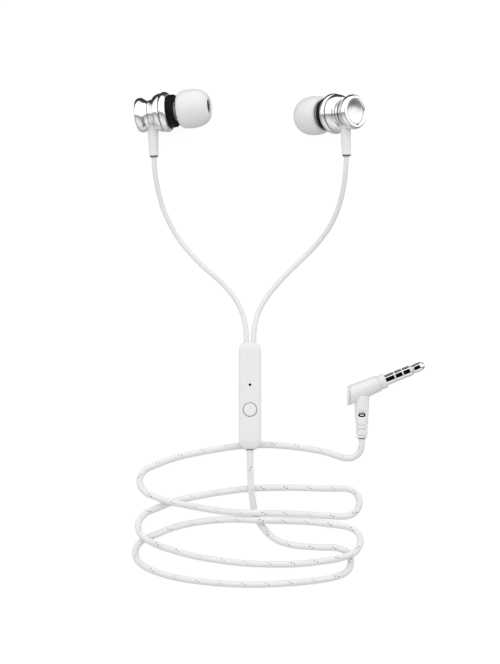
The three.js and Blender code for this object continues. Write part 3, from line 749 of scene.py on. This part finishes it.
def make_plug():
    """The right-angle plug: a cut barrel with its end cap, the pin, and the ribbed arm."""
    east = Vector((1, 0, 0))
    # The pin's frame has +Z along the pin.
    level = Matrix.Translation(PLUG_PLACE) @ Matrix.Rotation(PLUG_ANGLE, 4, "Z")
    pin = level @ Matrix.Rotation(math.pi / 2, 4, "Y")
    barrel = rounded([(0, -3), (3.1, -3), (3.1, 0.6), (2.7, 10.8), (2.4, 11.3), (0, 11.3)], 0.25)
    # Where the cuts are, in millimetres east of the pin frame's origin.
    front_from, cap_to, cap_from = 0.66, 0.6, -0.2
    front = sliced(spun(barrel, False, 96), pin, PLUG_PLACE + east * front_from * MM, -east)
    front_mesh = mesh_of(soften(front), "plug_barrel")
    finish_mesh("plug_barrel_fine", front_mesh, pin, "gloss", ROOT, ["plug_barrel"])
    behind = sliced(spun(barrel, False, 96), pin, PLUG_PLACE + east * cap_to * MM, east)
    end_cap = soften(sliced(behind, pin, PLUG_PLACE + east * cap_from * MM, -east), 0.36 * MM)
    finish_mesh("plug_end_cap_fine", mesh_of(end_cap, "plug_end"), pin, "gloss", ROOT, ["plug_end_cap"])

    collar = [(1.7, 11.3), (2.2, 11.3), (2.4, 11.6), (2.4, 13.3), (2.25, 13.6), (1.7, 13.6)]
    pieces = [
        ("plug_collar", collar, "gloss"),
        ("plug_sleeve", [(1, 11.9), (1.75, 11.9), (1.75, 16.74), (1, 16.74)], "chrome"),
        ("plug_insulator_3", [(1, 16.7), (1.71, 16.7), (1.71, 17.15), (1, 17.15)], "insulator"),
        ("plug_ring_2", [(1, 17.11), (1.75, 17.11), (1.75, 19.54), (1, 19.54)], "chrome"),
        ("plug_insulator_2", [(1, 19.5), (1.71, 19.5), (1.71, 19.95), (1, 19.95)], "insulator"),
        ("plug_ring_1", [(1, 19.91), (1.75, 19.91), (1.75, 22.34), (1, 22.34)], "chrome"),
        ("plug_insulator_1", [(1, 22.3), (1.71, 22.3), (1.71, 22.85), (1, 22.85)], "insulator"),
    ]
    for node, profile, material in pieces:
        turned_for(node, rounded(profile, 0.08, closed=True), pin, material, closed=True)
    tip = [(1.58, 22.83), (1.58, 22.95), (1.3, 23.15), (1.27, 23.4), (1.42, 23.75), (1.5, 24.2), (1.5, 25.2),
           (1.46, 26.0), (1.36, 26.45), (1.0, 26.95), (0.6, 27.38), (0.3, 27.56), (0, 27.6)]
    turned_for("plug_tip", [(0, 22.83), *catmull(tip, 5)], pin, "chrome")
    make_arm()


def make_arm():
    """The arm: ribs near the cable's end and a small inlaid oval on its face."""
    # +Z of the arm's frame points from the cable's end up to the barrel.
    axis = PLUG_PLACE + Vector((ARM_X * MM, 0, 0))
    matrix = Matrix.Translation(axis) @ Matrix.Rotation(-math.pi / 2, 4, "X")

    def radius(down):
        return 2.5 - 0.68 * down / ARM_END

    end = ARM_END
    outside = [(0, -end), (radius(end) - 0.25, -end), (radius(end) - 0.02, -end + 0.25)]
    groove_shape = ((-0.21, 0), (-0.18, 0.5), (0.18, 0.5), (0.21, 0))
    for groove in (13.3, 11.2, 9.9):
        outside += [(radius(groove) - depth, -groove + offset) for offset, depth in groove_shape]
    outside += [(radius(8), -8), (radius(4), -4), (radius(0), -0.2), (0, -0.2)]
    arm = turned_for("plug_arm", rounded(outside, 0.12), matrix, "soft")
    place = Matrix.Translation(PLUG_PLACE + Vector((ARM_X * MM, -6.5 * MM, 0)))
    carve(arm, cutter(oval(1.2, 0.65, 1.75, 4), place))
    finish_mesh("plug_arm_inlay_seat", mesh_of(oval(1.19, 0.64, 1.76, 1.86), "seat"), place, "black", ROOT)
    inlay = soften(oval(0.66, 0.18, 1.87, 2.05), 0.06 * MM)
    finish_mesh("plug_arm_inlay_fine", mesh_of(inlay, "inlay"), place, "soft", ROOT, ["plug_arm_inlay"])
    # A grey ring round the cable where it leaves the arm: painted shade, standing in for the shadow at the cable's
    # exit.
    exit_shade_ring = [
        (1.13, -end - 0.3), (1.16, -end - 0.3), (1.2, -end - 0.22), (1.2, -end + 0.1), (1.13, -end + 0.1),
    ]
    turned("plug_arm_exit_shade_ring", rounded(exit_shade_ring, 0.06, closed=True), matrix, "grey", closed=True)


def oval(half_width, half_height, low, high, steps=12):
    """A flat oval prism with round ends, in millimetres."""
    made = bmesh.new()
    points = []
    for sign in (1, -1):
        for k in range(steps + 1):
            angle = math.pi * k / steps - math.pi / 2
            x = sign * (half_width - half_height + half_height * math.cos(angle))
            points.append((x, sign * half_height * math.sin(angle)))
    rings = [[made.verts.new((x * MM, y * MM, z * MM)) for x, y in points] for z in (low, high)]
    made.faces.new(rings[0][::-1])
    made.faces.new(rings[1])
    count = len(points)
    for k in range(count):
        made.faces.new((rings[0][k], rings[0][(k + 1) % count], rings[1][(k + 1) % count], rings[1][k]))
    bmesh.ops.recalc_face_normals(made, faces=made.faces)
    return made


# ---- Stage ----


def make_stage():
    """A white surface that takes only the softest shadow, under an even studio sky."""
    mesh = bpy.data.meshes.new("floor")
    half = 5.0
    corners = [(-half, -half, 0), (half, -half, 0), (half, half, 0), (-half, half, 0)]
    mesh.from_pydata(corners, [], [(0, 1, 2, 3)])
    floor = bpy.data.objects.new("floor", mesh)
    floor.location.z = -0.00005  # just under the pieces that lie on it
    bpy.context.scene.collection.objects.link(floor)
    material = bpy.data.materials.new("floor")
    nodes = Nodes(material)
    diffuse = nodes("BsdfDiffuse", {"Color": (0.25, 0.25, 0.25, 1)})
    glow = nodes("Emission", {"Color": (1, 1, 1, 1), "Strength": 0.84})
    both = nodes("AddShader", {0: diffuse.outputs[0], 1: glow.outputs[0]})
    nodes("OutputMaterial", {"Surface": both.outputs[0]})
    mesh.materials.append(material)
    # The pieces are lit and mirrored by the sky alone, so that bright metal keeps its dark edges.
    floor.visible_diffuse = floor.visible_glossy = floor.visible_transmission = floor.visible_shadow = False


def make_flag(name, matrix, half_length, distance, start, end, steps=8):
    """A black flag that only mirrors see, bowed round the X axis of its own frame, between two angles from
    that frame's +Z towards its +Y."""
    angles = [math.radians(start + (end - start) * k / steps) for k in range(steps + 1)]
    ends = (-half_length, half_length)
    points = [(x, distance * math.sin(a), distance * math.cos(a)) for a in angles for x in ends]
    mesh = bpy.data.meshes.new(name)
    mesh.from_pydata(points, [], [(2 * k, 2 * k + 1, 2 * k + 3, 2 * k + 2) for k in range(steps)])
    mesh.materials.append(bpy.data.materials["flag"])
    flag = bpy.data.objects.new(name, mesh)
    flag.matrix_world = matrix
    bpy.context.scene.collection.objects.link(flag)
    flag.visible_camera = flag.visible_diffuse = flag.visible_transmission = flag.visible_shadow = False


def make_flags():
    """The flags that draw the dark bands along the jack's pin and on the right bud's cap."""
    nodes = Nodes(bpy.data.materials.new("flag"))
    nodes("OutputMaterial", {"Surface": nodes("BsdfDiffuse", {"Color": (0.01, 0.01, 0.01, 1)}).outputs[0]})
    along_pin = Matrix.Translation((0.0205, 0, 0))
    at_pin = Matrix.Translation(PLUG_PLACE) @ Matrix.Rotation(PLUG_ANGLE, 4, "Z") @ along_pin
    make_flag("pin_flag", at_pin, 0.0095, 0.02, -42, 48)
    make_flag("pin_edge_flag", at_pin, 0.0095, 0.02, 66, 95)
    at_cap = Matrix.Translation(sum(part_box("right_rear_cap"), Vector()) / 2)
    make_flag("cap_flag", at_cap, 0.004, 0.02, -12, 24)


# The studio sky, by the angle from overhead towards +Y, in degrees: a broad soft box above and beyond the
# buds, a black flag low behind it, and grey on the cord's side.
SKY = [(-180, 0.3), (-150, 0.4), (-105, 0.52), (-62, 0.88), (-30, 0.64), (-12, 0.38), (-3, 0.32), (3, 1.25),
       (100, 1.25), (110, 0.05), (168, 0.05), (180, 0.35)]


def make_sky():
    """The sky: SKY's greys, but far to the left and right it goes only from dark on the cord's side to bright
    beyond the buds."""
    world = bpy.data.worlds.new("studio")
    bpy.context.scene.world = world
    nodes = Nodes(world)
    direction = nodes("SeparateXYZ", {"Vector": nodes("TexCoord").outputs["Generated"]})
    x, y, z = (direction.outputs[k] for k in "XYZ")
    turn = nodes.math("ARCTAN2", y, z)
    place = nodes.math("MULTIPLY_ADD", turn, 1 / (2 * math.pi), 0.5)
    brightest = max(value for _, value in SKY)
    grey = nodes.ramp(place, *[((angle + 180) / 360, value / brightest) for angle, value in SKY])
    beyond_range = {"Value": y, "From Min": -0.16, "From Max": 0.06, "To Min": 0.14, "To Max": 1.0}
    beyond = nodes("MapRange", beyond_range, interpolation_type="SMOOTHSTEP")
    aside = nodes.math("MAXIMUM", nodes.math("MULTIPLY", x, 1.3), nodes.math("MULTIPLY", x, -1.0))
    aside_range = {"Value": aside, "From Min": 0.7, "From Max": 1.15}
    sideways = nodes("MapRange", aside_range, interpolation_type="SMOOTHSTEP")
    colour = nodes("MixRGB", {"Fac": sideways.outputs[0], "Color1": grey, "Color2": beyond.outputs[0]})
    light = nodes("Background", {"Color": colour.outputs[0], "Strength": brightest * 1.06})
    nodes("OutputWorld", {"Surface": light.outputs[0]})
    bpy.context.scene.view_settings.view_transform = "Standard"


# ---- The whole thing ----

make_camera()
materials = make_materials()
cords = make_cords()
for bud_side in ("left", "right"):
    make_bud(bud_side)
make_remote()
make_plug()

for row in frame["record"]["subparts"]:
    node = frame["nodes"][row["node"]]
    node.data.materials.clear()
    node.data.materials.append(materials[row["material_slot"]])

make_stage()
make_flags()
make_sky()
